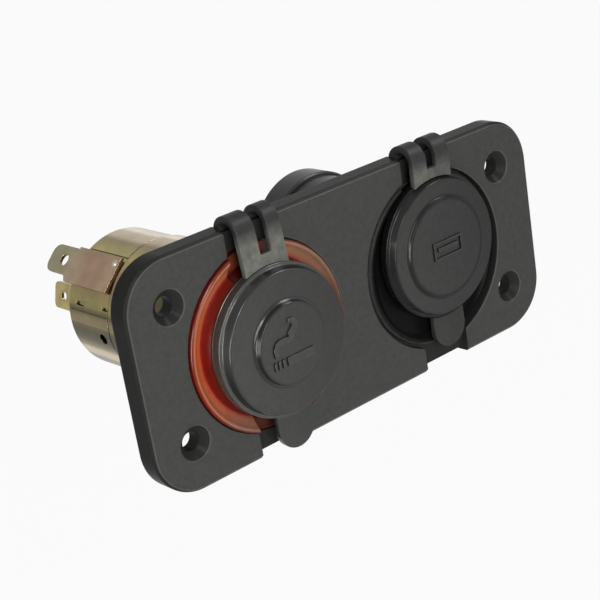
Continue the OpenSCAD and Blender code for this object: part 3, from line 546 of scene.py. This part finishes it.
def strap(name, cx, cz, foot_y, slot_z, slot_x, painted_sheen_level):
    """The strap's two bands, from its ring behind the panel over the top edge to the cap's skirt.

    The last argument sets how strong the painted highlight is on its left and right bands.
    """
    middle = HINGE_R - STRAP_T / 2
    path = [(-STRAP_T / 2, STRAP_RISE_Z + (HINGE_Z - STRAP_RISE_Z) * i / RISE_STEPS) for i in range(RISE_STEPS)]
    for i in range(LOOP_STEPS + 1):
        a = math.pi * i / LOOP_STEPS
        r = middle + LOOP_BULGE * math.sin(a)
        path.append((-HINGE_R + r * math.cos(a), HINGE_Z + r * math.sin(a)))
    half, gap = STRAP_W / 2, SLOT_W / 2
    slot = [slot_x + x for x in (-gap - 0.3, -gap, -0.8, 0, 0.8, gap, gap + 0.3)]
    columns = [-half, -half + STRAP_EDGE, -4.8, -3.6, -2.5] + slot + [2.7, 3.6, 4.8, half - STRAP_EDGE, half]
    bm = bmesh.new()
    grid = [[vertex(bm, cx + x, y, z) for x in columns] for y, z in path]
    skirt_r = CAP_R - 0.5
    fall = HINGE_Z - cz - skirt_r
    for i in range(1, FRONT_STEPS + 1):
        f = i / FRONT_STEPS
        row = []
        for x in columns:
            end = cz + math.sqrt(skirt_r ** 2 - x * x)
            if f <= 0.5:
                z = HINGE_Z + (slot_z - HINGE_Z) * f / 0.5
            else:
                z = slot_z + (end - slot_z) * (f - 0.5) / 0.5
            y = -HINGE_R - middle + (foot_y + STRAP_T / 2 + HINGE_R + middle) * (HINGE_Z - z) / fall
            row.append(vertex(bm, cx + x, y, z))
        grid.append(row)
    slot_rows = range(2, len(path) + FRONT_STEPS // 2 - 1)
    for i in range(len(grid) - 1):
        for j in range(len(columns) - 1):
            inside = abs((columns[j] + columns[j + 1]) / 2 - slot_x) < gap
            if not (inside and i in slot_rows):
                bm.faces.new((grid[i][j], grid[i][j + 1], grid[i + 1][j + 1], grid[i + 1][j]))
    loose = [v for v in bm.verts if not v.link_faces]
    bmesh.ops.delete(bm, geom=loose, context="VERTS")
    o = piece(name, bm, strap_rubber)
    thick = o.modifiers.new("thick", "SOLIDIFY")
    thick.thickness = STRAP_T * MM
    thick.offset = 0
    soft = o.modifiers.new("soft", "BEVEL")
    soft.width = STRAP_EASE * MM
    soft.segments = 3
    soft.limit_method = "ANGLE"
    soft.angle_limit = math.radians(50)
    apply_modifiers(o, strap_rubber)
    bm = bmesh.new()
    bm.from_mesh(o.data)
    r0, r1 = STRAP_RING
    turn(bm, eased([(r0, -1.55, 0.2), (r1, -1.55, 0.3), (r1, -0.02, 0.3), (r0, -0.02, 0.2)]), cx, 0, 120)
    bmesh.ops.recalc_face_normals(bm, faces=bm.faces)
    bm.to_mesh(o.data)
    bm.free()
    smooth(o.data)
    # Per-point strength of the painted highlight, lighter on the front legs where light falls
    painted_sheen = o.data.attributes.new("painted_sheen", "FLOAT", "POINT")
    for v, item in zip(o.data.vertices, painted_sheen.data):
        y, z = v.co.y / MM, v.co.z / MM
        growth = share((SHEEN_Z - z) / SHEEN_GROWTH_Z) * share((SHEEN_Y - y) / SHEEN_GROWTH_Y)
        item.value = painted_sheen_level[v.co.x > cx * MM] * growth
    return o


# The last values set the painted highlight on each strap's left and right bands
for node_name, body, cx, cz, foot_y, slot_z, slot_x, painted_sheen_level in (
        ("power_cap_tether", "outlet_cap", OUTLET_X, 0, -8.9, 19.4, 0.6, (1.1, 1.0)),
        ("charger_cap_tether", "charger_socket_cap", CHARGER_X, CHARGER_CAP_Z, -7.9, 22.6, 0.0, (0.80, 0.50))):
    o = strap(node_name + "_rubber", cx, cz, foot_y, slot_z, slot_x, painted_sheen_level)
    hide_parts(node_name)
    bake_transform(o)


# Nuts, stud and port contacts
def nut(name, material, across, hole, y0, y1, cx, cz, steps=96):
    """Hexagonal nut along Y with chamfered corners."""
    bm = bmesh.new()
    flat = across / 2
    rings = []
    for row in range(6):
        ring = []
        for k in range(steps):
            a = 2 * math.pi * k / steps
            reach = flat / math.cos(a % (math.pi / 3) - math.pi / 6)
            drop = (reach - flat) * 0.6 + 0.05
            r, y = ((hole, y0), (flat * 0.98, y0), (reach, y0 + drop),
                    (reach, y1 - drop), (flat * 0.98, y1), (hole, y1))[row]
            ring.append(vertex(bm, cx + r * math.cos(a), y, cz + r * math.sin(a)))
        rings.append(ring)
    for a, b in zip(rings, rings[1:] + rings[:1]):
        skin(bm, a, b)
    return piece(name, bm, material, sharp=25)


for name, node_name, across, hole, y0, y1 in (
        ("can_nut_hex", "can_nut", 14.0, 5.05, 49.3, 51.1),
        ("stud_nut_hex", "stud_nut", 7.0, 1.65, 52.8, 55.2)):
    o = nut(name, zinc_plain, across, hole, y0, y1, OUTLET_X, 0)
    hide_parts(node_name)
    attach(o, "housing")


def thread(bm, r, depth, pitch, y0, y1, cx, cz, steps=40, per_turn=6):
    """A screw thread along Y, which runs out at both ends."""
    count = int((y1 - y0) / pitch * per_turn)
    rings = []
    for i in range(count + 1):
        y = y0 + (y1 - y0) * i / count
        end = min(1, (y1 - y) / depth * 0.7, (y - y0) / depth * 0.7)
        ring = []
        for k in range(steps):
            a = 2 * math.pi * k / steps
            phase = (y / pitch - k / steps) % 1
            radius = r - depth * (1 - end) - depth * end * abs(2 * phase - 1)
            ring.append(vertex(bm, cx + radius * math.cos(a), y, cz + radius * math.sin(a)))
        rings.append(ring)
    for a, b in zip(rings, rings[1:]):
        skin(bm, a, b)
    bm.faces.new(rings[0])
    bm.faces.new(rings[-1])


STUD_R, STUD_HEAD_R = 1.6, 2.7
STUD_Y, STUD_HEAD_END_Y, STUD_THREAD_Y, STUD_END_Y = 36.5, 37.5, 50.0, 56.0
THREAD_DEPTH, THREAD_PITCH = 0.22, 0.5

bm = bmesh.new()
turn(bm, eased([
    (0, STUD_Y, 0), (STUD_HEAD_R, STUD_Y, 0.3), (STUD_HEAD_R, STUD_HEAD_END_Y, 0.1),
    (STUD_R, STUD_HEAD_END_Y, 0.1), (STUD_R, STUD_THREAD_Y, 0), (0, STUD_THREAD_Y, 0)]), OUTLET_X, 0, 64)
thread(bm, STUD_R, THREAD_DEPTH, THREAD_PITCH, STUD_THREAD_Y - 0.1, STUD_END_Y, OUTLET_X, 0)
stud = piece("contact_stud_thread", bm, brass, 60)
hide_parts("contact_stud")
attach(stud, "housing")

# Tongues lanced in the can's slots, as (direction, half width, from y, to y), which lean into the can
TONGUES = ((164, 0.42, 42.2, 45.4), (163, 0.33, 32.3, 34.7))
TONGUE_OUT_R, TONGUE_IN_R, TONGUE_T, TONGUE_EASE = 16.05, 15.7, 0.4, 0.08

bm = bmesh.new()
for direction, half, y0, y1 in TONGUES:
    out = Vector((math.cos(math.radians(direction)), 0, math.sin(math.radians(direction))))
    across = Vector((out.z, 0, -out.x))
    box = []
    for r_out, y in ((TONGUE_OUT_R, y0), (TONGUE_IN_R, y1)):
        for x in (-half, half):
            for r in (r_out - TONGUE_T, r_out):
                box.append(vertex(bm, *(Vector((OUTLET_X, y, 0)) + out * r + across * x)))
    sides = ((0, 1, 3, 2), (4, 6, 7, 5), (0, 4, 5, 1), (2, 3, 7, 6), (1, 5, 7, 3), (0, 2, 6, 4))
    rounded(bm, [bm.faces.new([box[i] for i in side]) for side in sides], TONGUE_EASE, 2)
tongues = piece("can_tongues", bm, zinc_gold)
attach(tongues, "housing")

# Contacts on the ports' tongues, as (place across, end)
CONTACTS = ((-3.5, 3.4), (-1.25, 2.6), (1.25, 2.6), (3.5, 3.4))
CONTACT_W, CONTACT_FRONT_Y, CONTACT_Z = 1.1, -4.3, 3.2
CONTACT_SUNK, CONTACT_RISE, CONTACT_EASE = 0.09, 0.05, 0.03

bm = bmesh.new()
for side in (-1, 1):
    z0, z1 = side * CONTACT_Z - side * CONTACT_SUNK, side * CONTACT_Z + side * CONTACT_RISE
    for x, y1 in CONTACTS:
        x0, x1 = CHARGER_X + x - CONTACT_W / 2, CHARGER_X + x + CONTACT_W / 2
        slab(bm, bar(x0, x1, z0, z1)[::side], CONTACT_FRONT_Y, y1, CONTACT_EASE)
contacts = piece("port_contacts", bm, brass)
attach(contacts, "housing")


# Light, floor and backdrop
def lamp(name, at, width, power, tall=None):
    """A soft box that faces the part."""
    data = bpy.data.lights.new(name, "AREA")
    data.shape = "RECTANGLE"
    data.size, data.size_y = width, tall or width
    data.energy = power
    o = bpy.data.objects.new(name, data)
    bpy.context.scene.collection.objects.link(o)
    o.location = at
    o.rotation_euler = (-Vector(at)).to_track_quat("-Z", "Y").to_euler()
    return o


lamp("key", (-0.22, -0.52, 0.12), 0.25, 2.3)
lamp("fill", (0.70, -0.70, 0.12), 0.5, 0.6)
# Soft boxes that only gloss shows
for box in (lamp("side", (-0.80, -0.14, -0.04), 0.25, 9, tall=0.6),
            lamp("upper_left", (-0.35, -0.55, 0.54), 0.22, 4),
            lamp("upper_right", (0.49, -0.29, 0.63), 0.35, 4, tall=0.25)):
    box.visible_diffuse = False

WHITE = (1, 1, 1, 1)
AMBIENT, AMBIENT_STRENGTH = (0.96, 0.98, 1.0, 1), 0.25
FLOOR_SIZE, FLOOR_Z = 3.0, -0.20
FLOOR_GLOW = 0.94


def seen_rays(tree):
    """1 for rays from the camera and for those that gloss and glass send on."""
    ray = node(tree, "LightPath").outputs
    first = math_node(tree, "MAXIMUM", ray["Is Camera Ray"], ray["Is Glossy Ray"])
    return math_node(tree, "MAXIMUM", first, ray["Is Transmission Ray"])


world = bpy.data.worlds.new("studio")
bpy.context.scene.world = world
world.use_nodes = True
t = world.node_tree
t.nodes.clear()
ambient = node(t, "Background", {"Color": AMBIENT, "Strength": AMBIENT_STRENGTH})
white = node(t, "Background", {"Color": WHITE, "Strength": 1.0})
mix = node(t, "MixShader", {"Fac": seen_rays(t), 1: ambient.outputs[0], 2: white.outputs[0]})
node(t, "OutputWorld", {"Surface": mix.outputs[0]})

bm = bmesh.new()
bmesh.ops.create_grid(bm, x_segments=4, y_segments=4, size=FLOOR_SIZE)
mesh = bpy.data.meshes.new("floor")
bm.to_mesh(mesh)
bm.free()
floor = bpy.data.objects.new("floor", mesh)
bpy.context.scene.collection.objects.link(floor)
floor.location = (0, 0, FLOOR_Z)
floor_pale = surface("floor_pale", (0.90, 0.90, 0.90), (0.92, 0.92, 0.92), (0.75, 0.85), grain=3)
t = floor_pale.node_tree
glow = node(t, "Emission", {"Color": WHITE, "Strength": 1.0})
mix = node(t, "MixShader", {
    "Fac": math_node(t, "MULTIPLY", seen_rays(t), FLOOR_GLOW),
    1: t.nodes["Principled BSDF"].outputs[0], 2: glow.outputs[0]})
t.links.new(mix.outputs[0], t.nodes["Material Output"].inputs["Surface"])
floor.data.materials.append(floor_pale)
floor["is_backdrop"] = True

# Camera at the photograph's viewing angle: angles in radians, and the part's place from the camera,
# which SHIFT_SCALE turns into millimetres
YAW, PITCH, ROLL = 0.6625, 0.3513, 0.1651
SHIFT = (14.8599, -1.0492, 411.0309)
SHIFT_SCALE = 0.844
FOCAL_PX, IMAGE_PX, SENSOR_MM = 1551.689, 600, 36
forward = Vector((math.sin(YAW) * math.cos(PITCH), math.cos(YAW) * math.cos(PITCH), -math.sin(PITCH)))
level = Vector((math.cos(YAW), -math.sin(YAW), 0))
fall = forward.cross(level)
right = math.cos(ROLL) * level + math.sin(ROLL) * fall
down = -math.sin(ROLL) * level + math.cos(ROLL) * fall
centre = -(right * SHIFT[0] + down * SHIFT[1] + forward * SHIFT[2]) * SHIFT_SCALE * MM
centre.y -= PANEL_T * MM
data = bpy.data.cameras.new("camera")
data.sensor_width = SENSOR_MM
data.lens = FOCAL_PX / IMAGE_PX * SENSOR_MM
data.clip_start, data.clip_end = 0.01, 20
camera = bpy.data.objects.new("camera", data)
bpy.context.scene.collection.objects.link(camera)
camera.matrix_world = Matrix.Translation(centre) @ Matrix((right, -down, -forward)).transposed().to_4x4()
bpy.context.scene.camera = camera
bpy.context.scene.view_settings.view_transform = "Standard"

size["at_end"] = plain_bounds()
